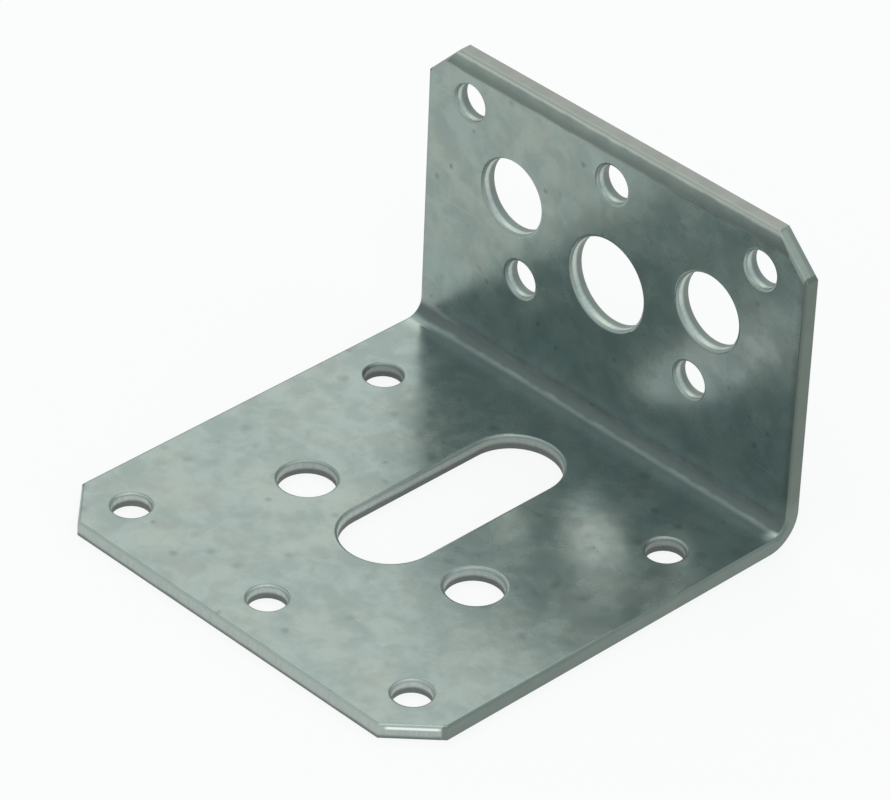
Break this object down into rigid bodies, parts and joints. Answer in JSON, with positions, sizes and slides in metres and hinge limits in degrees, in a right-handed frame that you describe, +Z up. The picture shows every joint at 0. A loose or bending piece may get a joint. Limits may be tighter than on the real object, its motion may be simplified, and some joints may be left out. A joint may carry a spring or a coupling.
{
  "type": "angle bracket",
  "caption": "Punched and folded galvanised sheet angle bracket with nail, screw and bolt holes and one adjusting slot.",
  "frame": {"origin": "middle of the footprint, on the underside of the base leg", "axes": "+X runs along the fold, +Y points from the free end of the base leg to the back of the upright leg, +Z points up along the upright leg"},
  "size_m": [0.065, 0.0654, 0.0438],
  "materials": {
    "galvanised_sheet": "hot-dip zinc coating on steel sheet, soft grey sheen with faint cloudy mottling"
  },
  "bodies": {
    "root": {"angle_bracket": "galvanised_sheet"}
  },
  "joints": []
}
